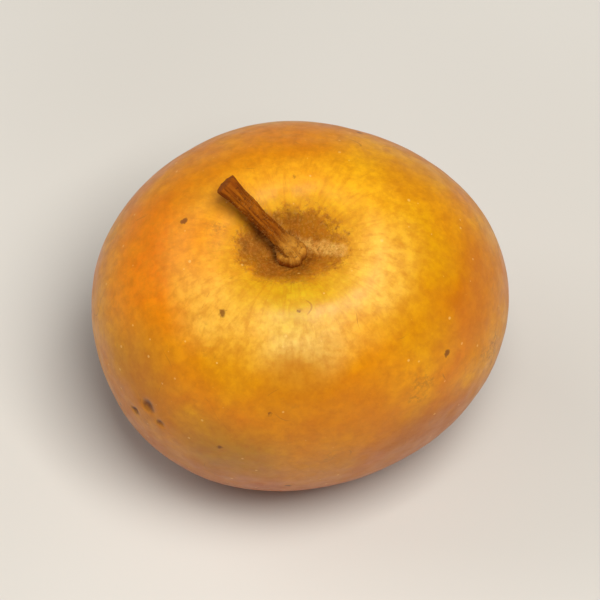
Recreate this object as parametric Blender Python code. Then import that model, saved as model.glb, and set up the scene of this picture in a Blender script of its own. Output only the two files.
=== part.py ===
"""A ripe Indian jujube, picked with its stalk on and resting on a small flat spot.

It has two pieces: the fruit, which grew as one body, and the stalk, whose foot sits in the fruit's hollow.
Both are modelled round the fruit's own axis, with the stalk end up. A parent then tips and turns them.
Lengths are metres and angles degrees. +Z is up, and the origin is the bottom centre of the fruit's box.
"""

import math

import bmesh
import bpy
from mathutils import Euler, Matrix, Vector

# The fruit's body
WIDTH = 0.0250
THICKNESS = 0.0215
ABOVE_GIRTH = 0.0108
BELOW_GIRTH = 0.0112
FULLNESS = 2.22

# How the fruit lies: its stalk end tips forward and leans left, and the whole is turned a little
TIP_FORWARD = 11.0
LEAN_LEFT = 3.8
TURN = 5.9

# The hollow round the stalk, wider from side to side, and the full shoulder that rings it
HOLLOW_DEPTH = 0.0027
HOLLOW_SPREAD = 0.0030
HOLLOW_STRETCH = 0.15
HOLLOW_STEEPNESS = 2.4
SHOULDER_RISE = 0.00012
SHOULDER_RADIUS = 0.0050
SHOULDER_SPREAD = 0.0022
PUCKERS = 9
PUCKER_HEIGHT = 0.00007
PUCKER_RADIUS = 0.0026

# The scar of the flower, which is a dimple beside the fruit's lower pole
SCAR_SKEW = 13.0
SCAR_DEPTH = 0.00045
SCAR_SPREAD = 0.0012

# Unevenness round the girth: waves round it, height and the angle of the first crest
SWELLS = ((3, 0.00018, 116.0), (5, 0.00006, 17.0))

# The side that pressed on another fruit is a little flatter
PRESSED_TOWARD = (0.58, -0.68, -0.44)
PRESSED_DEPTH = 0.00012
PRESSED_SPREAD = 0.0060

# The flat spot takes this much off the round bottom
REST_CUT = 0.00020

# The stalk: a foot like a shallow disc, then a thin stem that bends over and ends in a swollen cut.
# The neck and the end take these shares of the stem to thin out.
SEAT_GAP = 0.0003
FOOT_RADIUS = 0.0009
FOOT_HEIGHT = 0.00035
FOOT_LOBES = 5
FOOT_LOBING = 0.05
STEM_RADIUS = 0.00048
NECK_RADIUS = 0.00062
NECK_SHARE = 0.18
END_RADIUS = 0.00064
END_SHARE = 0.16
STEM_RISE = 0.0022
STEM_REACH = 0.0034
STEM_FIRST_LEAN = 50.0
STEM_LAST_LEAN = 57.0
STEM_HEADING = 136.0

# Mesh fineness
MERIDIANS = 64
PARALLELS = 44
POLE_CROWDING = 0.2
STALK_SIDES = 20
FOOT_RINGS = 4
STEM_RINGS = 16

SKIN_COLOUR = (0.78, 0.36, 0.03, 1.0)
SKIN_ROUGHNESS = 0.33
STALK_COLOUR = (0.20, 0.09, 0.025, 1.0)
STALK_ROUGHNESS = 0.85


def bell(distance, spread, steepness=2.0):
    """1 at no distance, falling smoothly to nothing a few spreads away."""
    return math.exp(-(abs(distance / spread) ** steepness))


def clear_scene():
    for thing in list(bpy.data.objects):
        bpy.data.objects.remove(thing, do_unlink=True)


def make_material(name, colour, roughness):
    material = bpy.data.materials.new(name)
    material.use_nodes = True
    shader = material.node_tree.nodes["Principled BSDF"]
    shader.inputs["Base Color"].default_value = colour
    shader.inputs["Roughness"].default_value = roughness
    shader.inputs["Metallic"].default_value = 0.0
    return material


def scar_direction():
    """From the fruit's middle to the scar, which leans back from the lower pole."""
    skew = math.radians(SCAR_SKEW)
    return Vector((0.0, math.sin(skew), -math.cos(skew)))


def resting_turn():
    """The turn from the fruit's own axes to how it lies."""
    angles = (math.radians(TIP_FORWARD), math.radians(-LEAN_LEFT), math.radians(TURN))
    return Euler(angles, "XYZ").to_matrix()


def body_reach(direction):
    """From the middle to the surface of the plain egg, two full halves that meet at the girth."""
    half_length = ABOVE_GIRTH if direction.z > 0.0 else BELOW_GIRTH
    across = math.hypot(direction.x / (WIDTH / 2), direction.y / (THICKNESS / 2))
    along = abs(direction.z) / half_length
    return (across**FULLNESS + along**FULLNESS) ** (-1.0 / FULLNESS)


def fruit_reach(direction):
    """From the middle to the skin in this direction: the plain egg with its hollow, scar and unevenness."""
    around = math.atan2(direction.y, direction.x)
    from_stalk = ABOVE_GIRTH * direction.angle(Vector((0.0, 0.0, 1.0)), 0.0)
    from_scar = BELOW_GIRTH * direction.angle(scar_direction(), 0.0)
    from_pressed = WIDTH / 2 * direction.angle(Vector(PRESSED_TOWARD), 0.0)
    girth_share = direction.x**2 + direction.y**2
    pucker_share = bell(from_stalk - PUCKER_RADIUS, PUCKER_RADIUS / 2)
    hollow_spread = HOLLOW_SPREAD * (1.0 + HOLLOW_STRETCH * math.cos(2.0 * around))
    reach = body_reach(direction)
    reach -= HOLLOW_DEPTH * bell(from_stalk, hollow_spread, HOLLOW_STEEPNESS)
    reach += SHOULDER_RISE * bell(from_stalk - SHOULDER_RADIUS, SHOULDER_SPREAD)
    reach += PUCKER_HEIGHT * pucker_share * math.cos(PUCKERS * around)
    reach -= SCAR_DEPTH * bell(from_scar, SCAR_SPREAD)
    reach -= PRESSED_DEPTH * bell(from_pressed, PRESSED_SPREAD)
    for waves, height, crest in SWELLS:
        reach += height * girth_share * math.cos(waves * (around - math.radians(crest)))
    return reach


def crowd_to_poles(point):
    """The sphere's point moved along its meridian, so that rows lie closer at the stalk and the scar."""
    down = point.angle(Vector((0.0, 0.0, 1.0)), 0.0)
    down -= POLE_CROWDING * math.sin(2.0 * down)
    around = math.atan2(point.y, point.x)
    return Vector((math.sin(down) * math.cos(around), math.sin(down) * math.sin(around), math.cos(down)))


def bend_to_scar(point):
    """The sphere's point turned by a share of the scar's skew, so that the lower pole meets the scar."""
    share = ((1.0 - point.z) / 2.0) ** 2
    return Matrix.Rotation(math.radians(SCAR_SKEW) * share, 3, "X") @ point


def world_down():
    """Straight down, seen from the fruit's own axes."""
    return resting_turn().inverted() @ Vector((0.0, 0.0, -1.0))


def cap_with_sharp_rim(mesh, rim):
    """Close a loop of edges with one flat face, and keep the shading crisp where it meets the rest."""
    bmesh.ops.contextual_create(mesh, geom=rim)
    for edge in rim:
        edge.smooth = False


def cut_flat_spot(mesh):
    """Slice off the lowest part of the tipped fruit and close it with one flat face."""
    down = world_down()
    deepest = max(vertex.co.dot(down) for vertex in mesh.verts)
    cut = bmesh.ops.bisect_plane(
        mesh,
        geom=mesh.verts[:] + mesh.edges[:] + mesh.faces[:],
        plane_co=down * (deepest - REST_CUT),
        plane_no=down,
        clear_outer=True,
    )
    rim = [item for item in cut["geom_cut"] if isinstance(item, bmesh.types.BMEdge)]
    cap_with_sharp_rim(mesh, rim)


def new_object(name, mesh, material, parent):
    """An object from finished mesh data, shaded smooth apart from the rims of its flat faces."""
    bmesh.ops.recalc_face_normals(mesh, faces=mesh.faces[:])
    for face in mesh.faces:
        face.smooth = True
    data = bpy.data.meshes.new(name)
    mesh.to_mesh(data)
    mesh.free()
    data.materials.append(material)
    made = bpy.data.objects.new(name, data)
    made.parent = parent
    bpy.context.scene.collection.objects.link(made)
    return made


def make_fruit(parent):
    mesh = bmesh.new()
    bmesh.ops.create_uvsphere(mesh, u_segments=MERIDIANS, v_segments=PARALLELS, radius=1.0)
    for vertex in mesh.verts:
        direction = bend_to_scar(crowd_to_poles(vertex.co)).normalized()
        vertex.co = direction * fruit_reach(direction)
    cut_flat_spot(mesh)
    return new_object("fruit", mesh, make_material("fruit_skin", SKIN_COLOUR, SKIN_ROUGHNESS), parent)


def seat_profile():
    """Radius and height of the foot's underside, which keeps the gap above the hollow's steeper way."""
    floor_reach = fruit_reach(Vector((0.0, 0.0, 1.0)))
    widest = math.asin(FOOT_RADIUS / floor_reach)
    rows = []
    for ring in range(1, FOOT_RINGS + 1):
        angle = widest * ring / FOOT_RINGS
        reach = fruit_reach(Vector((0.0, math.sin(angle), math.cos(angle))))
        rows.append((reach * math.sin(angle), reach * math.cos(angle) + SEAT_GAP))
    return rows


def foot_profile():
    """Radius and height of each ring of the foot: out under it, then in over its rim to the stem's neck."""
    seat = seat_profile()
    rim_radius, rim_height = seat[-1]
    rows = list(seat)
    for ring in range(1, FOOT_RINGS + 1):
        turn = math.pi / 2 * ring / FOOT_RINGS
        radius = NECK_RADIUS + (rim_radius - NECK_RADIUS) * math.cos(turn)
        rows.append((radius, rim_height + FOOT_HEIGHT * math.sin(turn)))
    return rows


def stem_way(lean):
    """The direction that leans this far from upright towards the stem's heading."""
    return Matrix.Rotation(math.radians(STEM_HEADING), 3, "Z") @ Vector(
        (math.sin(math.radians(lean)), 0.0, math.cos(math.radians(lean)))
    )


def stem_point(share, start):
    """A point along the stem, on a curve that leaves the foot at its first lean and ends at its last."""
    bend = start + STEM_RISE * stem_way(STEM_FIRST_LEAN)
    end = bend + STEM_REACH * stem_way(STEM_LAST_LEAN)
    return start * (1 - share) ** 2 + bend * 2 * share * (1 - share) + end * share**2


def stem_radius(share):
    """Thick at the neck, thin along the stem and swollen again where it was broken off the twig."""
    neck = (NECK_RADIUS - STEM_RADIUS) * bell(share, NECK_SHARE)
    end = (END_RADIUS - STEM_RADIUS) * bell(1.0 - share, END_SHARE)
    return STEM_RADIUS + neck + end


def stalk_rings():
    """Centre, direction, radius and lobing of each ring, from the foot's underside to the cut end."""
    up = Vector((0.0, 0.0, 1.0))
    rings = [(up * height, up, radius, FOOT_LOBING) for radius, height in foot_profile()]
    start = rings[-1][0]
    for step in range(1, STEM_RINGS + 1):
        share = step / STEM_RINGS
        ahead = stem_point(share + 1 / STEM_RINGS, start) - stem_point(share - 1 / STEM_RINGS, start)
        rings.append((stem_point(share, start), ahead.normalized(), stem_radius(share), 0.0))
    return rings


def add_ring(mesh, centre, direction, radius, lobing):
    """One closed loop of edges round the stalk, whose first vertex always faces the same way."""
    turn = Vector((0.0, 0.0, 1.0)).rotation_difference(direction).to_matrix()
    corners = []
    for side in range(STALK_SIDES):
        angle = 2.0 * math.pi * side / STALK_SIDES
        reach = radius * (1.0 + lobing * math.cos(FOOT_LOBES * angle))
        flat = Vector((reach * math.cos(angle), reach * math.sin(angle), 0.0))
        corners.append(mesh.verts.new(centre + turn @ flat))
    return [mesh.edges.new((corners[side - 1], corners[side])) for side in range(STALK_SIDES)]


def make_stalk(parent):
    mesh = bmesh.new()
    loops = [add_ring(mesh, *ring) for ring in stalk_rings()]
    for below, above in zip(loops, loops[1:]):
        bmesh.ops.bridge_loops(mesh, edges=below + above)
    for loop in (loops[0], loops[-1]):
        cap_with_sharp_rim(mesh, loop)
    return new_object("stalk", mesh, make_material("stalk", STALK_COLOUR, STALK_ROUGHNESS), parent)


def stand_on_origin(parent, fruit):
    """Turn the parent and move it, so that the flat spot lies on the ground at the origin."""
    points = [resting_turn() @ vertex.co for vertex in fruit.data.vertices]
    lows = [min(point[axis] for point in points) for axis in range(3)]
    highs = [max(point[axis] for point in points) for axis in range(3)]
    parent.rotation_euler = resting_turn().to_euler()
    parent.location = (-(lows[0] + highs[0]) / 2, -(lows[1] + highs[1]) / 2, -lows[2])


def main():
    clear_scene()
    parent = bpy.data.objects.new("jujube", None)
    bpy.context.scene.collection.objects.link(parent)
    fruit = make_fruit(parent)
    make_stalk(parent)
    stand_on_origin(parent, fruit)


main()
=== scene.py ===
"""The looks of one ripe jujube: its waxy skin, its dry stalk, a pale floor and soft light.

The fruit and the stalk here are finer copies of the part's two solids, built from the same dimensions.
Lengths are metres and angles degrees, and +Z is up. Materials work in millimetres.
"""

import math

import bmesh
import bpy
import numpy as np
from mathutils import Euler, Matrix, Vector, noise


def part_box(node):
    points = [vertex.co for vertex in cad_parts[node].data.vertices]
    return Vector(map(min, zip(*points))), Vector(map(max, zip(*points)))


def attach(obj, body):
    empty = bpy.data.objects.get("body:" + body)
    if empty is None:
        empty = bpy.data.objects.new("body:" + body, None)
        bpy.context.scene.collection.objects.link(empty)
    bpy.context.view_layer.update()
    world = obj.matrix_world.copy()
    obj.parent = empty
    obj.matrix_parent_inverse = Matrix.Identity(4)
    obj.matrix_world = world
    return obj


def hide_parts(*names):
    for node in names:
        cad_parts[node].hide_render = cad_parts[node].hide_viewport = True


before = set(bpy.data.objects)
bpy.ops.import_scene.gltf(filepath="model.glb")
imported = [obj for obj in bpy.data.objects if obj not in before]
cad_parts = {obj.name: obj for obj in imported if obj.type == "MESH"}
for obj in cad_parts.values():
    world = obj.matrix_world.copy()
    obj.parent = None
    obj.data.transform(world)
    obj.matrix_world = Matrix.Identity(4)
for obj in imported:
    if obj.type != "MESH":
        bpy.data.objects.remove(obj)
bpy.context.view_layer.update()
MM = 0.001

# The camera looks along +Y and down, as in the photograph
CAMERA_ELEVATION = 57.0
CAMERA_LENS = 400.0
CAMERA_SENSOR = 36.0
FRUIT_SHARE_OF_FRAME = 0.70

# The fruit's body, as in the part
WIDTH = 0.0250
THICKNESS = 0.0215
ABOVE_GIRTH = 0.0108
BELOW_GIRTH = 0.0112
FULLNESS = 2.22
TIP_FORWARD = 11.0
LEAN_LEFT = 3.8
TURN = 5.9
HOLLOW_DEPTH = 0.0027
HOLLOW_SPREAD = 0.0030
HOLLOW_STRETCH = 0.15
HOLLOW_STEEPNESS = 2.4
SHOULDER_RISE = 0.00012
SHOULDER_RADIUS = 0.0050
SHOULDER_SPREAD = 0.0022
PUCKERS = 9
PUCKER_HEIGHT = 0.00007
PUCKER_RADIUS = 0.0026
SCAR_SKEW = 13.0
SCAR_DEPTH = 0.00045
SCAR_SPREAD = 0.0012
SWELLS = ((3, 0.00018, 116.0), (5, 0.00006, 17.0))
PRESSED_TOWARD = (0.58, -0.68, -0.44)
PRESSED_DEPTH = 0.00012
PRESSED_SPREAD = 0.0060
REST_CUT = 0.00020

# The stalk, as in the part
FOOT_RADIUS = 0.0009
FOOT_HEIGHT = 0.00035
FOOT_LOBES = 5
FOOT_LOBING = 0.05
STEM_RADIUS = 0.00048
NECK_RADIUS = 0.00062
NECK_SHARE = 0.18
END_RADIUS = 0.00064
END_SHARE = 0.16
STEM_RISE = 0.0022
STEM_REACH = 0.0034
STEM_FIRST_LEAN = 50.0
STEM_LAST_LEAN = 57.0
STEM_HEADING = 136.0
SEAT_GAP = 0.0003

# Mesh fineness
CUBE_CELLS = 126
POLE_CROWDING = 0.2
MEASURE_CELLS = 40
FLAT_SOFTNESS = 0.00003
STALK_SIDES = 80
FOOT_RINGS = 14
STEM_RINGS = 150
STEM_STEP = 0.06
END_RINGS = 10

# Fine form of the stalk
FOOT_SUNK = 0.00010
END_BULGE = 0.00012
FIBRE_LENGTH = 0.0016
FIBRE_HEIGHT = 0.00006
BUMP_SIZE = 0.0007
BUMP_HEIGHT = 0.00005
TEAR_HEIGHT = 0.00012
FIBRES_AROUND = 2.6
TEARS_AROUND = 3.5
TEAR_SEED = 7.0

# Short hairs on the stalk. Their radius is the one at the root, and each length is between these two
HAIRS = 420
HAIR_LENGTHS = (0.00018, 0.00048)
HAIR_RADIUS = 0.000012
HAIR_TAPER = 0.8
HAIR_SIDES = 3
HAIR_STEPS = 3
HAIR_LEAN = 0.6
HAIR_DROOP = 0.15
HAIR_SCATTER = 0.35
HAIR_CROWDING = 1.3
BARE_FOOT_RINGS = 3
BARE_END_SHARE = 0.10
HAIR_SEED = 12

# The studio
AIM_LIFT = 0.0008
CLIP_RANGE = 100
FLOOR_SIZE = 2.0
FLOOR_COLOURS = ("cfccc7", "d8d6d2")
FLOOR_ROUGHNESS = 0.6
WORLD_COLOUR = "f7f5f2"
WORLD_STRENGTH = 0.11
# Lights: name, azimuth, elevation, distance, size, power in watts, colour
LIGHTS = (
    ("key", -58.0, 69.0, 0.50, 0.24, 2.65, (1.0, 0.97, 0.91)),
    ("fill", 160.0, 42.0, 0.60, 0.40, 0.9, (1.0, 0.97, 0.92)),
)

# Fine relief of the skin: size across and height of each layer of unevenness, and how far it is sunk in
SKIN_RELIEF = ((0.0070, 0.00007), (0.0024, 0.000022), (0.0009, 0.000006))
RELIEF_SUNK = 0.000045
RELIEF_LAYERS = 2
RELIEF_SEED = 11.0
FOLD_HEIGHT = 0.00005
FOLD_LAYERS = 3
FOLD_SEED = 5.0
FOLDS_AROUND = 9.0
SEED_STEPS = (1.0, 0.37, -0.71)
# Small pits: azimuth and elevation round the fruit's middle, radius, depth
PITS = (
    (-138.0, 7.0, 0.00042, 0.00022),
    (-133.0, 3.0, 0.00026, 0.00014),
    (-143.0, -1.0, 0.00030, 0.00016),
    (62.0, 24.0, 0.00030, 0.00014),
    (148.0, 12.0, 0.00036, 0.00016),
)

# Patches: colour, azimuth and elevation from the fruit's middle, inner and outer radius in mm, strength
PATCHES = (
    # Gold on the top and orange to its left, back and right
    ("fbbd08", 8.0, 66.0, 1.5, 8.0, 0.85),
    # The bright gold at the far shoulder of the hollow is partly a painted highlight
    ("ffc41e", 115.0, 82.0, 0.5, 3.8, 0.90),
    ("f28600", -163.0, 44.0, 1.0, 6.5, 0.90),
    ("e58600", 100.0, 62.0, 1.0, 6.0, 0.65),
    ("dc7c00", 152.0, 54.0, 0.8, 3.8, 0.55),
    ("da8c00", 22.0, 52.0, 0.8, 3.8, 0.60),
    ("dca200", -10.0, 54.0, 0.6, 3.2, 0.50),
    # A pale belt in front of the hollow: slightly paler skin, mostly a painted highlight on the shoulder
    ("ffd058", -134.0, 49.0, 0.8, 3.8, 0.70),
    ("ffd260", -112.0, 48.5, 0.8, 3.6, 0.60),
    ("ffe07c", -88.0, 48.5, 0.8, 4.0, 0.85),
    ("fecc54", -62.0, 52.0, 0.8, 3.8, 0.50),
    ("fdd05c", -36.0, 57.0, 0.8, 3.8, 0.70),
    # Ochre, gold and orange below the belt and on the right
    ("cc9000", -88.0, 34.0, 0.6, 3.4, 0.75),
    ("e8ac04", -112.0, 37.0, 0.8, 3.8, 0.60),
    ("ce7600", -16.0, 31.0, 1.5, 5.5, 0.80),
    ("e0a200", -40.0, 37.0, 0.8, 3.8, 0.70),
    ("e2aa00", -18.0, 47.0, 0.6, 3.4, 0.60),
    ("d88400", -78.0, 16.0, 2.0, 7.0, 0.70),
    # Olive and brown low on the front, then yellow, red and ochre round the back
    ("bd7e14", -145.0, 16.0, 1.0, 5.0, 0.50),
    ("b68418", -112.0, 0.0, 0.8, 4.6, 0.72),
    ("b0640c", -48.0, -4.0, 1.0, 5.0, 0.60),
    ("c9a824", 100.0, 2.0, 2.0, 9.0, 0.70),
    ("cf5c0c", 42.0, -6.0, 1.5, 8.0, 0.60),
    ("b98620", 150.0, -30.0, 2.0, 8.0, 0.60),
)
# Rings round the stalk: colour, outer and inner distance from its axis over the skin in mm, strength
HOLLOW_RINGS = (
    # The first, pale ring is partly a painted highlight round the hollow's rim
    ("f4b72c", 7.4, 5.6, 0.35),
    ("d9a008", 4.4, 3.4, 0.55),
    # These two brown rings are cork, darkened further by painted shade deep in the hollow
    ("a86a06", 3.3, 2.5, 0.92),
    ("7a4402", 2.3, 1.3, 0.80),
)
# Patches in the hollow: colour, distance from the axis and angle round it, inner and outer radius, strength
HOLLOW_PATCHES = (
    ("dfb20a", 4.0, -132.0, 0.6, 2.3, 0.55),
    ("dab40a", 3.8, -92.0, 0.8, 2.6, 0.80),
    ("dab010", 4.3, -56.0, 0.6, 2.2, 0.60),
    ("643602", 2.3, 128.0, 0.4, 1.1, 0.70),
    ("7a4602", 2.1, 80.0, 0.3, 0.9, 0.50),
    ("7a4602", 2.6, 168.0, 0.4, 1.2, 0.75),
    # These two dark patches are painted shadow on the near side of the hollow
    ("744202", 1.9, -142.0, 0.4, 1.3, 0.55),
    ("7c4a02", 1.7, -85.0, 0.4, 1.3, 0.45),
)
# Pale streak in the hollow: colour, distance and angle of each end, inner and outer reach, strength
PALE_STREAK = ("e6b458", (1.0, 48.0), (3.3, -13.0), 0.26, 0.56, 0.95)

# Noise: size in mm, detail, roughness, low and high noise, and what those two are turned into
TONE = (6.5, 3.0, 0.55, 0.36, 0.64, 0.0, 1.0)
RAGGED_RINGS = (1.6, 4.0, 0.60, 0.25, 0.75, -0.35, 0.35)
FRAYED_RINGS = (0.35, 4.0, 0.70, 0.30, 0.70, -0.35, 0.35)
STREAK_FLAKES = (0.20, 5.0, 0.75, 0.38, 0.56, 0.35, 1.0)
CORK_SCALES = (0.17, 4.0, 0.70, 0.48, 0.62, 0.0, 0.45)
CORK_CRACKS = (0.24, 5.0, 0.75, 0.34, 0.46, 0.55, 0.0)
RAGGED_SCAR = (0.8, 2.0, 0.50, 0.25, 0.75, -0.25, 0.25)
MOTTLING = (0.55, 5.0, 0.66, 0.35, 0.68, 0.0, 0.38)
SHADING = (0.9, 6.0, 0.68, 0.36, 0.64, 0.0, 0.24)
WORN_PLACES = (3.4, 4.0, 0.60, 0.60, 0.72, 0.0, 0.55)
WORN_GRAIN = (0.22, 3.0, 0.70, 0.40, 0.60, 0.0, 1.0)
SCUFF_PLACES = (2.1, 2.0, 0.50, 0.56, 0.64, 0.0, 0.55)
WAX = (1.4, 5.0, 0.62, 0.30, 0.70, 0.33, 0.47)
STALK_SPOTS = (0.22, 3.0, 0.60, 0.58, 0.70, 0.0, 0.60)
FLOOR_CLOUDS = (60.0, 2.0, 0.50, 0.30, 0.70, 0.0, 1.0)
# The same along the fruit's meridians and the stalk's fibres, whose sizes aren't in mm
MERIDIAN_STREAKS = (0.055, 3.0, 0.60, 0.45, 0.72, 0.0, 0.30)
STALK_FIBRES = (1.0, 5.0, 0.65, 0.32, 0.68, 0.0, 1.0)
# Plain noise: size in mm, detail, roughness
SKIN_PEEL = (0.45, 4.0, 0.6)
CORK_GRAIN = (0.18, 4.0, 0.7)
SCUFF_DRIFT = (5.0, 1.0, 0.4)
STALK_GRAIN = (0.12, 4.0, 0.6)
HAIR_SHADE = (0.3, 3.0, 0.6)
HAIR_GRAIN = (0.03, 2.0, 0.5)
# Where each effect is full and where it is gone, as a height or a distance in mm, and its strength
# Painted shade: the skin turns a deeper red-brown towards the bottom
PAINTED_SHADE_BELOW = (4.0, 13.0, 0.90)
CORK_REACH = (2.7, 3.5, 1.0)
DULL_HOLLOW = (3.0, 5.6, 0.32)
ROUGH_HOLLOW = (2.4, 3.6, 3.0)
SCAR_RING = (1.1, 2.3, 0.75)
SCAR_MIDDLE = (0.25, 0.75, 0.95)
# How far noise pushes places about before marks are drawn there: size and reach of each push in mm
PATCH_WANDER = ((4.0, 3.6),)
HOLLOW_WANDER = ((0.9, 0.7), (0.2, 0.25))
MARK_WANDER = ((0.5, 0.45), (0.13, 0.16))

# How fast the streaks change along the fruit's axis
STREAK_CHANGE = 1.1
# Pores and flecks lie in cells this many mm apart, and their radii are shares of a cell
PORE_SPACING = 0.80
PORE_RADII = (0.04, 0.13)
PORE_EDGE = 0.035
PORE_STRENGTH = 0.42
PORE_RISE = 0.5
FLECK_SPACING = 3.0
FLECKS = (0.05, 0.10, 0.8)
# The brown of a pit: inner and outer radius as shares of the pit's own, and strength
PIT_TINT_SHARES = (0.4, 1.5)
PIT_TINT_STRENGTH = 0.9
# Scuffs run where smooth noise is at this level: inner and outer difference from it, and strength
SCUFF_LEVEL = 0.52
SCUFF_LINES = (0.0012, 0.0035, 1.0)

# The foot's pale cork: the shares of the stalk where it is full and where it is gone, and its strength
CORKY_FOOT = (0.04, 0.36, 0.90)
# The broken end's brown: the shares of the stalk where it begins and where it is full, and both strengths
BROWN_END = (0.84, 1.0, 0.0, 0.50)
# How fast the fibres change across the stalk, both ways, and along it
FIBRE_CHANGE = (3.0, 3.0, 0.9)

# Shaders: roughness of fibres and hairs from low to high noise, and strength and height of each bump
FIBRE_ROUGHNESS = (0.0, 1.0, 0.88, 0.66)
HAIR_ROUGHNESS = (0.3, 0.7, 0.55, 0.75)
SKIN_BUMP = (0.5, 0.00002)
STALK_BUMP = (0.6, 0.00003)
HAIR_BUMP = (0.3, 0.000005)
WAXY_FLESH = {
    "IOR": 1.29,
    "Subsurface Weight": 0.20,
    "Subsurface Radius": (1.0, 0.42, 0.12),
    "Subsurface Scale": 0.0012,
    "Coat Weight": 0.06,
    "Coat Roughness": 0.27,
}
DRY_WOOD = {"IOR": 1.30, "Specular IOR Level": 0.25}

UP = Vector((0.0, 0.0, 1.0))
LIES = Euler([math.radians(angle) for angle in (TIP_FORWARD, -LEAN_LEFT, TURN)], "XYZ").to_matrix()


def paint(code):
    """A linear colour from the screen's red, green and blue in hexadecimal."""
    parts = [int(code[place : place + 2], 16) / 255 for place in (0, 2, 4)]
    linear = [part / 12.92 if part <= 0.04045 else ((part + 0.055) / 1.055) ** 2.4 for part in parts]
    return (*linear, 1.0)


def bell(distance, spread, steepness=2.0):
    """1 at no distance, falling smoothly to nothing a few spreads away."""
    return np.exp(-(np.abs(distance / spread) ** steepness))


def unit(rows):
    return rows / np.linalg.norm(rows, axis=1, keepdims=True)


def angle_to(directions, axis):
    """The angle between each direction and one axis."""
    return np.arccos(np.clip(directions @ np.array(axis) / np.linalg.norm(axis), -1.0, 1.0))


def towards(azimuth, elevation):
    """A unit direction from its azimuth, counted from +X towards +Y, and its elevation."""
    across = math.cos(math.radians(elevation))
    turn = math.radians(azimuth)
    return Vector((across * math.cos(turn), across * math.sin(turn), math.sin(math.radians(elevation))))


def rough_noise(place, layers):
    """Smooth noise between about -1 and 1, in layers that are each half the size of the one before."""
    return noise.fractal(place, 1.0, 2.0, layers)


def uneven(points, size, layers, seed):
    """Smooth noise between about -1 and 1 at each point, with features of this size."""
    shift = Vector([seed * step for step in SEED_STEPS])
    return np.array([rough_noise(Vector(point) / size + shift, layers) for point in points])


def scar_direction():
    skew = math.radians(SCAR_SKEW)
    return np.array((0.0, math.sin(skew), -math.cos(skew)))


def body_reach(directions):
    """From the middle to the surface of the plain egg, two full halves that meet at the girth."""
    half_length = np.where(directions[:, 2] > 0.0, ABOVE_GIRTH, BELOW_GIRTH)
    across = np.hypot(directions[:, 0] / (WIDTH / 2), directions[:, 1] / (THICKNESS / 2))
    along = np.abs(directions[:, 2]) / half_length
    return (across**FULLNESS + along**FULLNESS) ** (-1.0 / FULLNESS)


def stalk_distance(directions):
    """How far each direction's skin is from the stalk's axis."""
    return ABOVE_GIRTH * angle_to(directions, UP)


def hollow_distance(directions):
    """The same, but less to the sides and more in front and behind, as the hollow is wider to the sides."""
    around = np.arctan2(directions[:, 1], directions[:, 0])
    return stalk_distance(directions) / (1.0 + HOLLOW_STRETCH * np.cos(2.0 * around))


def scar_distance(directions):
    return BELOW_GIRTH * angle_to(directions, scar_direction())


def pucker_share(directions):
    """1 on the ring round the stalk where the skin is puckered, falling to nothing off it."""
    return bell(stalk_distance(directions) - PUCKER_RADIUS, PUCKER_RADIUS / 2)


def fruit_reach(directions):
    """From the middle to the skin in each direction: the plain egg with its hollow, scar and unevenness."""
    around = np.arctan2(directions[:, 1], directions[:, 0])
    from_pressed = WIDTH / 2 * angle_to(directions, PRESSED_TOWARD)
    girth_share = directions[:, 0] ** 2 + directions[:, 1] ** 2
    reach = body_reach(directions)
    reach -= HOLLOW_DEPTH * bell(hollow_distance(directions), HOLLOW_SPREAD, HOLLOW_STEEPNESS)
    reach += SHOULDER_RISE * bell(stalk_distance(directions) - SHOULDER_RADIUS, SHOULDER_SPREAD)
    reach += PUCKER_HEIGHT * pucker_share(directions) * np.cos(PUCKERS * around)
    reach -= SCAR_DEPTH * bell(scar_distance(directions), SCAR_SPREAD)
    reach -= PRESSED_DEPTH * bell(from_pressed, PRESSED_SPREAD)
    for waves, height, crest in SWELLS:
        reach += height * girth_share * np.cos(waves * (around - math.radians(crest)))
    return reach


def crowd_to_poles(points):
    """The sphere's points moved along their meridians, so that they lie closer at the stalk and the scar."""
    down = angle_to(points, UP)
    down = down - POLE_CROWDING * np.sin(2.0 * down)
    around = np.arctan2(points[:, 1], points[:, 0])
    return np.stack([np.sin(down) * np.cos(around), np.sin(down) * np.sin(around), np.cos(down)], axis=1)


def bend_to_scar(points):
    """The sphere's points turned by a share of the scar's skew, so that the lower pole meets the scar."""
    turn = math.radians(SCAR_SKEW) * ((1.0 - points[:, 2]) / 2.0) ** 2
    y = points[:, 1] * np.cos(turn) - points[:, 2] * np.sin(turn)
    z = points[:, 1] * np.sin(turn) + points[:, 2] * np.cos(turn)
    return np.stack([points[:, 0], y, z], axis=1)


def skin_relief(directions, points):
    """How far each point of the skin stands out of the smooth form."""
    height = np.full(len(points), -RELIEF_SUNK)
    for order, (size, depth) in enumerate(SKIN_RELIEF, 1):
        height += depth * uneven(points, size, RELIEF_LAYERS, RELIEF_SEED * order)
    for azimuth, elevation, radius, depth in PITS:
        toward = LIES.inverted() @ towards(azimuth, elevation)
        height -= depth * bell(WIDTH / 2 * angle_to(directions, toward), radius)
    folds = directions * np.array((FOLDS_AROUND, FOLDS_AROUND, 1.0))
    height += FOLD_HEIGHT * pucker_share(directions) * uneven(folds, 1.0, FOLD_LAYERS, FOLD_SEED)
    return height


def points_of(data):
    """A mesh's points as rows of three numbers."""
    flat = np.empty(len(data.vertices) * 3)
    data.vertices.foreach_get("co", flat)
    return flat.reshape(-1, 3)


def give(data, name, values):
    """Keep one number for each point of a mesh, for its material to read."""
    made = data.attributes.new(name, "FLOAT", "POINT")
    made.data.foreach_set("value", np.asarray(values, dtype=np.float32))


def give_vector(data, name, rows):
    """Keep three numbers for each point of a mesh, for its material to read."""
    made = data.attributes.new(name, "FLOAT_VECTOR", "POINT")
    made.data.foreach_set("vector", np.asarray(rows, dtype=np.float32).ravel())


def add_object(name, data, material):
    data.materials.append(material)
    data.polygons.foreach_set("use_smooth", [True] * len(data.polygons))
    made = bpy.data.objects.new(name, data)
    bpy.context.scene.collection.objects.link(made)
    return made


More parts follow.
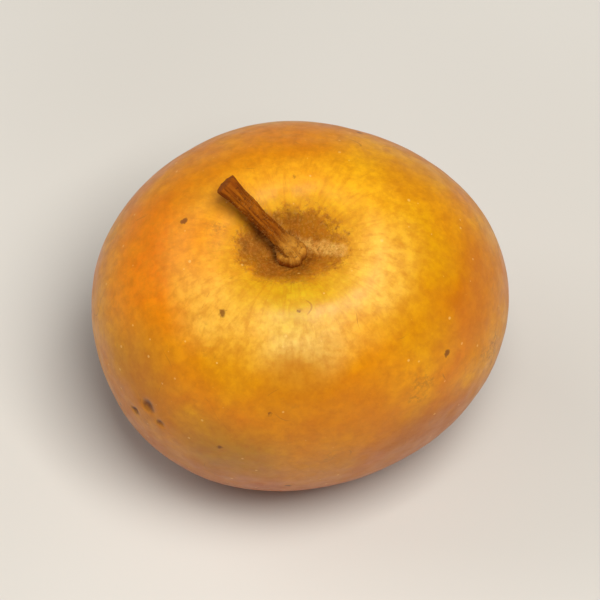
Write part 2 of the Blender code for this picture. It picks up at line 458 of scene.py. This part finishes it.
def cube_sphere(name, cells):
    """A mesh of a unit ball made from a cube, whose sides have this many cells each way."""
    ball = bmesh.new()
    bmesh.ops.create_cube(ball, size=2.0)
    bmesh.ops.subdivide_edges(ball, edges=ball.edges[:], cuts=cells - 1, use_grid_fill=True)
    data = bpy.data.meshes.new(name)
    ball.to_mesh(data)
    ball.free()
    even = unit(np.tan(points_of(data) * math.pi / 4))
    data.vertices.foreach_set("co", even.ravel())
    return data


def fruit_place():
    """From the fruit's own middle to its place over the origin, by the box of the part's solid."""
    low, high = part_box("fruit")
    data = cube_sphere("measure", MEASURE_CELLS)
    directions = points_of(data)
    bpy.data.meshes.remove(data)
    tipped = smooth_skin(directions) @ np.array(LIES).T
    middle = (tipped.min(axis=0) + tipped.max(axis=0)) / 2
    across = ((low.x + high.x) / 2 - middle[0], (low.y + high.y) / 2 - middle[1])
    return np.array((*across, low.z - tipped[:, 2].min() - REST_CUT))


def stand(points):
    """Points in the fruit's own axes, tipped forward and moved to where the part's solid stands."""
    return points @ np.array(LIES).T + PLACE


def rest_flat(points):
    """Points pressed up to the ground's level, with a soft edge round the flat spot."""
    height = points[:, 2]
    lifted = (height + np.sqrt(height**2 + FLAT_SOFTNESS**2)) / 2
    return np.column_stack([points[:, :2], lifted])


def smooth_skin(directions):
    """The points of the smooth skin in these directions from the middle, all in the fruit's own axes."""
    return directions * fruit_reach(directions)[:, None]


def make_fruit():
    data = cube_sphere("fruit_fine", CUBE_CELLS)
    directions = unit(bend_to_scar(crowd_to_poles(points_of(data))))
    smooth = smooth_skin(directions)
    skin = smooth + directions * skin_relief(directions, smooth)[:, None]
    data.vertices.foreach_set("co", rest_flat(stand(skin)).ravel())
    give(data, "from_stalk", hollow_distance(directions) / MM)
    give_vector(data, "own", directions)
    give(data, "from_scar", scar_distance(directions) / MM)
    made = add_object("fruit_fine", data, skin_material())
    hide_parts("fruit")
    return made


def floor_height(radius):
    """Height of the hollow's floor over the fruit's middle, at this distance from the axis."""
    angle = radius / float(fruit_reach(np.array([UP]))[0])
    direction = np.array([(0.0, math.sin(angle), math.cos(angle))])
    return float(fruit_reach(direction)[0]) * math.cos(angle)


def foot_profile():
    """Radius and height of each ring of the foot: out under it, then in over its rim to the stem's neck."""
    rows = []
    for ring in range(1, FOOT_RINGS + 1):
        radius = FOOT_RADIUS * ring / FOOT_RINGS
        rows.append((radius, floor_height(radius) - FOOT_SUNK))
    rim_height = floor_height(FOOT_RADIUS) + SEAT_GAP
    for ring in range(FOOT_RINGS + 1):
        turn = math.pi / 2 * ring / FOOT_RINGS
        radius = NECK_RADIUS + (FOOT_RADIUS - NECK_RADIUS) * math.cos(turn)
        rows.append((radius, rim_height + FOOT_HEIGHT * math.sin(turn)))
    return rows


def stem_way(lean):
    """The direction that leans this far from upright towards the stem's heading."""
    return towards(STEM_HEADING, 90.0 - lean)


def stem_point(share, start):
    """A point along the stem, on a curve that leaves the foot at its first lean and ends at its last."""
    bend = start + STEM_RISE * stem_way(STEM_FIRST_LEAN)
    end = bend + STEM_REACH * stem_way(STEM_LAST_LEAN)
    return start * (1 - share) ** 2 + bend * 2 * share * (1 - share) + end * share**2


def stem_radius(share):
    """Thick at the neck, thin along the stem and swollen again where it was broken off the twig."""
    neck = (NECK_RADIUS - STEM_RADIUS) * bell(share, NECK_SHARE)
    end = (END_RADIUS - STEM_RADIUS) * bell(1.0 - share, END_SHARE)
    return float(STEM_RADIUS + neck + end)


def stalk_rings():
    """Centre, direction, radius and share of the stem for each ring, from under the foot to the cut end."""
    rings = [(height * UP, UP, radius, 0.0) for radius, height in foot_profile()]
    start = rings[-1][0]
    for step in range(1, STEM_RINGS + 1):
        share = step / STEM_RINGS
        ahead = stem_point(share + STEM_STEP, start) - stem_point(share - STEM_STEP, start)
        rings.append((stem_point(share, start), ahead.normalized(), stem_radius(share), share))
    end, ahead = rings[-1][0], rings[-1][1]
    for step in range(1, END_RINGS):
        turn = math.pi / 2 * step / END_RINGS
        radius = stem_radius(1.0) * math.cos(turn)
        rings.append((end + END_BULGE * math.sin(turn) * ahead, ahead, radius, 1.0))
    return rings


def stalk_relief(place, angle, along, share, in_foot):
    """How far the stalk's surface stands out of its smooth form: lobes, fibres, bumps and a torn end."""
    across = Vector((math.cos(angle), math.sin(angle), 0.0))
    fibres = rough_noise(across * FIBRES_AROUND + UP * along / FIBRE_LENGTH, layers=3)
    bumps = rough_noise(place / BUMP_SIZE, layers=2)
    height = FIBRE_HEIGHT * fibres + BUMP_HEIGHT * bumps
    torn = rough_noise(across * TEARS_AROUND + UP * TEAR_SEED, layers=2)
    height += TEAR_HEIGHT * bell(1.0 - share, END_SHARE / 2) * torn
    return height + in_foot * FOOT_LOBING * FOOT_RADIUS * math.cos(FOOT_LOBES * angle)


def stalk_mesh():
    """The stalk's mesh in the fruit's own axes, with how far along the stem each of its points is."""
    rings = stalk_rings()
    places, shares, grain = [], [], []
    foot_rows = 2 * FOOT_RINGS + 1
    for row, (centre, direction, radius, share) in enumerate(rings):
        turn = UP.rotation_difference(direction).to_matrix()
        in_foot = min(1.0, radius / FOOT_RADIUS) ** 2 if row < foot_rows else 0.0
        along = share * (STEM_RISE + STEM_REACH)
        for side in range(STALK_SIDES):
            angle = 2.0 * math.pi * side / STALK_SIDES
            outward = turn @ Vector((math.cos(angle), math.sin(angle), 0.0))
            relief = stalk_relief(centre + radius * outward, angle, along, share, in_foot)
            places.append(centre + outward * (radius + relief * min(1.0, radius / STEM_RADIUS)))
            shares.append(share)
            grain.append((math.cos(angle), math.sin(angle), along / MM))
    faces = []
    for row in range(len(rings) - 1):
        low, high = row * STALK_SIDES, (row + 1) * STALK_SIDES
        for side in range(STALK_SIDES):
            after = (side + 1) % STALK_SIDES
            faces.append((low + side, low + after, high + after, high + side))
    faces.append(tuple(reversed(range(STALK_SIDES))))
    faces.append(tuple(range(len(places) - STALK_SIDES, len(places))))
    data = bpy.data.meshes.new("stalk_fine")
    data.from_pydata(places, [], faces)
    return data, shares, grain


def make_stalk():
    data, shares, grain = stalk_mesh()
    data.vertices.foreach_set("co", stand(points_of(data)).ravel())
    give(data, "share", shares)
    give_vector(data, "grain", grain)
    made = add_object("stalk_fine", data, stalk_material())
    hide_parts("stalk")
    return made


def hair_points(root, out, along, length):
    """The corners of one thin tapered hair that leans along the stem and droops, from its root to its tip."""
    side = along.cross(out).normalized()
    corners = []
    for step in range(HAIR_STEPS):
        share = step / HAIR_STEPS
        way = share * out + share**2 * (HAIR_LEAN * along - HAIR_DROOP * UP)
        centre = root + length * way
        for corner in range(HAIR_SIDES):
            angle = 2.0 * math.pi * corner / HAIR_SIDES
            reach = HAIR_RADIUS * (1.0 - HAIR_TAPER * share)
            corners.append(centre + (side * math.cos(angle) + along * math.sin(angle)) * reach)
    corners.append(root + length * (out + HAIR_LEAN * along - HAIR_DROOP * UP))
    return corners


def hair_faces(first):
    """The faces of one hair whose corners are numbered from first."""
    faces = []
    for step in range(HAIR_STEPS - 1):
        low = first + step * HAIR_SIDES
        for corner in range(HAIR_SIDES):
            after = (corner + 1) % HAIR_SIDES
            faces.append((low + corner, low + after, low + HAIR_SIDES + after, low + HAIR_SIDES + corner))
    last = first + (HAIR_STEPS - 1) * HAIR_SIDES
    tip = last + HAIR_SIDES
    faces += [(last + corner, last + (corner + 1) % HAIR_SIDES, tip) for corner in range(HAIR_SIDES)]
    faces.append(tuple(reversed(range(first, first + HAIR_SIDES))))
    return faces


def make_hairs(stalk):
    """Short hairs that grow from the foot's rim and the stem, fewer towards the broken end."""
    draw = np.random.default_rng(HAIR_SEED)
    along = (LIES @ stem_way(STEM_LAST_LEAN)).normalized()
    first_row = FOOT_RINGS + BARE_FOOT_RINGS
    last_row = 2 * FOOT_RINGS + int(STEM_RINGS * (1.0 - BARE_END_SHARE))
    corners, faces = [], []
    for _ in range(HAIRS):
        row = first_row + int((last_row - first_row) * draw.random() ** HAIR_CROWDING)
        face = stalk.data.polygons[row * STALK_SIDES + int(draw.integers(STALK_SIDES))]
        tilt = Vector(draw.normal(0.0, HAIR_SCATTER, 3))
        out = (face.normal + tilt).normalized()
        faces += hair_faces(len(corners))
        root = face.center - face.normal * HAIR_RADIUS
        corners += hair_points(root, out, along, float(draw.uniform(*HAIR_LENGTHS)))
    data = bpy.data.meshes.new("stalk_hairs")
    data.from_pydata(corners, [], faces)
    made = add_object("stalk_hairs", data, hair_material())
    return made


class Painter:
    """Adds nodes to one material and hands back their outputs."""

    def __init__(self, name):
        self.material = bpy.data.materials.new(name)
        self.material.use_nodes = True
        self.tree = self.material.node_tree
        self.shader = self.tree.nodes["Principled BSDF"]

    def feed(self, socket, value):
        if isinstance(value, bpy.types.NodeSocket):
            self.tree.links.new(value, socket)
        else:
            socket.default_value = value

    def node(self, kind, inputs, **settings):
        made = self.tree.nodes.new(kind)
        for name, value in settings.items():
            setattr(made, name, value)
        for key, value in inputs.items():
            self.feed(made.inputs[key], value)
        return made

    def millimetres(self):
        """The place on the object, in millimetres."""
        coordinates = self.tree.nodes.new("ShaderNodeTexCoord")
        return self.vector("SCALE", coordinates.outputs["Object"], scale=1 / MM)

    def attribute(self, name, output="Fac"):
        return self.node("ShaderNodeAttribute", {}, attribute_name=name).outputs[output]

    def vector(self, operation, first, second=None, scale=None):
        inputs = {0: first}
        if second is not None:
            inputs[1] = second
        if scale is not None:
            inputs["Scale"] = scale
        made = self.node("ShaderNodeVectorMath", inputs, operation=operation)
        return made.outputs["Value" if operation in ("DISTANCE", "DOT_PRODUCT") else "Vector"]

    def maths(self, operation, first, second=0.0, third=0.0):
        made = self.node("ShaderNodeMath", {0: first, 1: second, 2: third}, operation=operation)
        return made.outputs["Value"]

    def multiply(self, first, second):
        return self.maths("MULTIPLY", first, second)

    def noise(self, place, size, detail=2.0, roughness=0.5, output="Fac"):
        inputs = {"Vector": place, "Scale": 1 / size, "Detail": detail, "Roughness": roughness}
        return self.node("ShaderNodeTexNoise", inputs).outputs[output]

    def cells(self, place, size, output="Distance"):
        return self.node("ShaderNodeTexVoronoi", {"Vector": place, "Scale": 1 / size}).outputs[output]

    def between(self, value, low, high, to_low=0.0, to_high=1.0):
        """The value turned into to_low at low and to_high at high, smoothly."""
        inputs = {"Value": value, "From Min": low, "From Max": high, "To Min": to_low, "To Max": to_high}
        made = self.node("ShaderNodeMapRange", inputs, interpolation_type="SMOOTHSTEP")
        return made.outputs["Result"]

    def mix(self, amount, under, over, blend="MIX"):
        inputs = {0: amount, 6: under, 7: over}
        return self.node("ShaderNodeMix", inputs, data_type="RGBA", blend_type=blend).outputs[2]

    def fade(self, value, full, gone, strength):
        """The strength where the value is up to full, fading to nothing where it reaches gone."""
        return self.between(value, full, gone, strength, 0.0)

    def clouds(self, place, size, detail, roughness, low, high, at_low, at_high):
        """Noise turned into at_low where it is low and at_high where it is high."""
        return self.between(self.noise(place, size, detail, roughness), low, high, at_low, at_high)

    def wander(self, place, pushes):
        """The place pushed about by noise, so that what is drawn round it has an uneven edge."""
        for size, reach in pushes:
            push = self.vector("SUBTRACT", self.noise(place, size, output="Color"), (0.5, 0.5, 0.5))
            place = self.vector("ADD", place, self.vector("SCALE", push, scale=reach))
        return place

    def spot(self, place, centre, inner, outer, strength):
        """The strength inside the inner radius round a point, fading to nothing at the outer radius."""
        return self.fade(self.vector("DISTANCE", place, centre), inner, outer, strength)

    def strip(self, place, start, end, inner, outer, strength):
        """The strength near the straight way between two points, fading to nothing at the outer distance."""
        way = Vector(end) - Vector(start)
        from_start = self.vector("SUBTRACT", place, start)
        share = self.vector("DOT_PRODUCT", from_start, way / way.length_squared)
        share = self.maths("MINIMUM", self.maths("MAXIMUM", share, 0.0), 1.0)
        nearest = self.vector("ADD", start, self.vector("SCALE", way, scale=share))
        return self.fade(self.vector("DISTANCE", place, nearest), inner, outer, strength)

    def bump(self, height, strength, distance):
        """The surface's direction once it is roughened by this height."""
        inputs = {"Strength": strength, "Distance": distance, "Height": height}
        return self.node("ShaderNodeBump", inputs).outputs["Normal"]

    def finish(self, values):
        """Give the shader its values and hand back the material."""
        for name, value in values.items():
            self.feed(self.shader.inputs[name], value)
        return self.material


def skin_place(direction):
    """The place on the skin, in millimetres, that lies this way from the middle in the fruit's own axes."""
    return tuple(stand(smooth_skin(np.array([direction])))[0] / MM)


def on_skin(azimuth, elevation):
    """The place on the skin, in millimetres, that lies this way from the fruit's middle."""
    return skin_place(LIES.inverted() @ towards(azimuth, elevation))


def by_stalk(distance, around):
    """The place on the skin, in millimetres, this far from the stalk's axis and this way round it."""
    down = math.degrees(distance * MM / ABOVE_GIRTH)
    return skin_place(towards(around, 90.0 - down))


def skin_colour(brush, place):
    """Orange and gold in large soft clouds, with patches over them, some of them painted highlight, and
    painted shade that deepens the colour towards the bottom.
    """
    loose = brush.wander(place, PATCH_WANDER)
    colour = brush.mix(brush.clouds(loose, *TONE), paint("e08402"), paint("eea406"))
    for code, azimuth, elevation, inner, outer, strength in PATCHES:
        amount = brush.spot(loose, on_skin(azimuth, elevation), inner, outer, strength)
        colour = brush.mix(amount, colour, paint(code))
    # Painted shade: a deeper red-brown towards the bottom
    height = brush.node("ShaderNodeSeparateXYZ", {0: loose}).outputs["Z"]
    return brush.mix(brush.fade(height, *PAINTED_SHADE_BELOW), colour, paint("a84a00"))


def hollow_colour(brush, place, colour):
    """Olive, then brown cork, then dark towards the stalk, with a frayed edge to each ring. The brown and the
    dark are cork darkened further by painted shade in the hollow, the outer pale ring is partly a painted
    highlight, and two dark patches on the near side are painted shadow.
    """
    uneven_edge = brush.maths("ADD", brush.clouds(place, *RAGGED_RINGS), brush.clouds(place, *FRAYED_RINGS))
    distance = brush.maths("ADD", brush.attribute("from_stalk"), uneven_edge)
    loose = brush.wander(place, HOLLOW_WANDER)
    for code, outer, inner, strength in HOLLOW_RINGS:
        colour = brush.mix(brush.fade(distance, inner, outer, strength), colour, paint(code))
    for code, distance_out, around, inner, outer, strength in HOLLOW_PATCHES:
        amount = brush.spot(loose, by_stalk(distance_out, around), inner, outer, strength)
        colour = brush.mix(amount, colour, paint(code))
    code, start, end, inner, outer, strength = PALE_STREAK
    amount = brush.strip(loose, by_stalk(*start), by_stalk(*end), inner, outer, strength)
    flaky = brush.clouds(place, *STREAK_FLAKES)
    colour = brush.mix(brush.multiply(amount, flaky), colour, paint(code))
    corky = brush.fade(distance, *CORK_REACH)
    scales = brush.clouds(place, *CORK_SCALES)
    colour = brush.mix(brush.multiply(scales, corky), colour, paint("c8923e"))
    cracks = brush.clouds(place, *CORK_CRACKS)
    return brush.mix(brush.multiply(cracks, corky), colour, paint("5a3004"))


def scar_colour(brush, place, colour):
    """A pale olive ring with a dark brown middle."""
    distance = brush.maths("ADD", brush.attribute("from_scar"), brush.clouds(place, *RAGGED_SCAR))
    colour = brush.mix(brush.fade(distance, *SCAR_RING), colour, paint("b98f2c"))
    return brush.mix(brush.fade(distance, *SCAR_MIDDLE), colour, paint("4a2a10"))


def streaks(brush):
    """Fine uneven marks, drawn out into lines towards the stalk and towards the scar."""
    own = brush.attribute("own", "Vector")
    level = brush.node("ShaderNodeVectorMath", {0: own, 1: (1.0, 1.0, 0.0)}, operation="MULTIPLY")
    around = brush.vector("NORMALIZE", level.outputs["Vector"])
    along = brush.vector("MULTIPLY", own, (0.0, 0.0, STREAK_CHANGE))
    return brush.clouds(brush.vector("ADD", around, along), *MERIDIAN_STREAKS)


def fine_marks(brush, place, colour):
    """Streaks, mottling, pale breathing pores, brown flecks, scuffs and the dark floors of the pits."""
    colour = brush.mix(streaks(brush), colour, paint("c4700a"))
    colour = brush.mix(brush.clouds(place, *MOTTLING), colour, paint("c8780c"))
    colour = brush.mix(brush.clouds(place, *SHADING), colour, paint("cc9468"), "MULTIPLY")
    colour = brush.mix(brush.multiply(pores(brush, place), PORE_STRENGTH), colour, paint("f7cf78"))
    rough = brush.wander(place, MARK_WANDER)
    flecks = brush.fade(brush.cells(rough, FLECK_SPACING), *FLECKS)
    colour = brush.mix(flecks, colour, paint("6e3508"))
    colour = brush.mix(scuffs(brush, place), colour, paint("a8641a"))
    worn = brush.multiply(brush.clouds(place, *WORN_PLACES), brush.clouds(place, *WORN_GRAIN))
    colour = brush.mix(worn, colour, paint("a5651a"))
    for azimuth, elevation, radius, _ in PITS:
        inner, outer = [share * radius / MM for share in PIT_TINT_SHARES]
        amount = brush.spot(rough, on_skin(azimuth, elevation), inner, outer, PIT_TINT_STRENGTH)
        colour = brush.mix(amount, colour, paint("4c150a"))
    return colour


def pores(brush, place):
    """1 in each small breathing pore, where the middle of a cell meets the skin, some larger than others."""
    size = brush.node("ShaderNodeSeparateColor", {0: brush.cells(place, PORE_SPACING, "Color")}).outputs[0]
    widest = brush.between(size, 0.2, 1.0, *PORE_RADII)
    nearness = brush.maths("SUBTRACT", widest, brush.cells(place, PORE_SPACING))
    return brush.between(nearness, 0.0, PORE_EDGE)


def scuffs(brush, place):
    """A few thin curved rub marks."""
    from_line = brush.maths("SUBTRACT", brush.noise(place, *SCUFF_DRIFT), SCUFF_LEVEL)
    line = brush.fade(brush.maths("ABSOLUTE", from_line), *SCUFF_LINES)
    return brush.multiply(line, brush.clouds(place, *SCUFF_PLACES))


def skin_material():
    brush = Painter("fruit_skin")
    place = brush.millimetres()
    colour = skin_colour(brush, place)
    colour = hollow_colour(brush, place, colour)
    colour = scar_colour(brush, place, colour)
    colour = fine_marks(brush, place, colour)
    dull = brush.fade(brush.attribute("from_stalk"), *DULL_HOLLOW)
    rough = brush.maths("ADD", brush.clouds(place, *WAX), dull)
    look = {"Base Color": colour, "Roughness": rough, "Normal": skin_bump(brush, place)}
    return brush.finish({**look, **WAXY_FLESH})


def skin_bump(brush, place):
    """The skin's finest unevenness: a soft peel, raised pores and the rough cork of the hollow."""
    peel = brush.noise(place, *SKIN_PEEL)
    height = brush.maths("MULTIPLY_ADD", pores(brush, place), PORE_RISE, peel)
    in_hollow = brush.fade(brush.attribute("from_stalk"), *ROUGH_HOLLOW)
    cork = brush.multiply(brush.noise(place, *CORK_GRAIN), in_hollow)
    return brush.bump(brush.maths("ADD", height, cork), *SKIN_BUMP)


def stalk_material():
    """Dry ridged brown, with paler cork at the foot and darker spots."""
    brush = Painter("stalk")
    place = brush.millimetres()
    share = brush.attribute("share")
    long_grain = brush.vector("MULTIPLY", brush.attribute("grain", "Vector"), FIBRE_CHANGE)
    fibres = brush.clouds(long_grain, *STALK_FIBRES)
    colour = brush.mix(fibres, paint("6a2e02"), paint("ac6006"))
    corky = brush.mix(fibres, paint("9a5e12"), paint("cc9034"))
    colour = brush.mix(brush.fade(share, *CORKY_FOOT), colour, corky)
    colour = brush.mix(brush.between(share, *BROWN_END), colour, paint("984a06"))
    colour = brush.mix(brush.clouds(place, *STALK_SPOTS), colour, paint("301505"))
    rough = brush.between(fibres, *FIBRE_ROUGHNESS)
    height = brush.maths("ADD", fibres, brush.noise(place, *STALK_GRAIN))
    look = {"Base Color": colour, "Roughness": rough, "Normal": brush.bump(height, *STALK_BUMP)}
    return brush.finish({**look, **DRY_WOOD})


def hair_material():
    """Pale dry hairs, some browner than others."""
    brush = Painter("stalk_hairs")
    place = brush.millimetres()
    shade = brush.noise(place, *HAIR_SHADE)
    colour = brush.mix(shade, paint("8c5416"), paint("dca048"))
    rough = brush.between(shade, *HAIR_ROUGHNESS)
    bump = brush.bump(brush.noise(place, *HAIR_GRAIN), *HAIR_BUMP)
    return brush.finish({"Base Color": colour, "Roughness": rough, "Normal": bump})


def make_floor():
    """A plain pale floor, far wider than the view."""
    bpy.ops.mesh.primitive_plane_add(size=FLOOR_SIZE)
    floor = bpy.context.object
    floor.name = "floor"
    brush = Painter("floor")
    darker, paler = FLOOR_COLOURS
    colour = brush.mix(brush.clouds(brush.millimetres(), *FLOOR_CLOUDS), paint(darker), paint(paler))
    floor.data.materials.append(brush.finish({"Base Color": colour, "Roughness": FLOOR_ROUGHNESS}))


def make_light(name, azimuth, elevation, distance, size, power, colour):
    """A square soft light that faces the fruit."""
    data = bpy.data.lights.new(name, "AREA")
    data.size = size
    data.energy = power
    data.color = colour
    lamp = bpy.data.objects.new(name, data)
    direction = towards(azimuth, elevation)
    lamp.location = direction * distance
    lamp.rotation_euler = direction.to_track_quat("Z", "Y").to_euler()
    bpy.context.scene.collection.objects.link(lamp)


def make_world():
    """A faint even light from all round."""
    world = bpy.data.worlds.new("studio")
    world.use_nodes = True
    background = world.node_tree.nodes["Background"]
    background.inputs["Color"].default_value = paint(WORLD_COLOUR)
    background.inputs["Strength"].default_value = WORLD_STRENGTH
    bpy.context.scene.world = world


def make_camera():
    """A long lens at the photograph's angle, as far off as makes the fruit its share of the frame."""
    data = bpy.data.cameras.new("camera")
    data.lens = CAMERA_LENS
    data.sensor_width = CAMERA_SENSOR
    camera = bpy.data.objects.new("camera", data)
    back = towards(-90.0, CAMERA_ELEVATION)
    frame_width = WIDTH / FRUIT_SHARE_OF_FRAME
    distance = frame_width / (CAMERA_SENSOR / CAMERA_LENS)
    low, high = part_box("fruit")
    camera.location = (low + high) / 2 + back * distance + AIM_LIFT * UP
    camera.rotation_euler = back.to_track_quat("Z", "Y").to_euler()
    data.clip_start = distance / CLIP_RANGE
    data.clip_end = distance * CLIP_RANGE
    bpy.context.scene.collection.objects.link(camera)
    bpy.context.scene.camera = camera


def main():
    make_camera()
    make_world()
    make_floor()
    for light in LIGHTS:
        make_light(*light)
    bpy.context.scene.view_settings.view_transform = "Standard"
    stalk = make_stalk()
    for piece in (make_fruit(), stalk, make_hairs(stalk)):
        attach(piece, "root")


PLACE = fruit_place()
main()
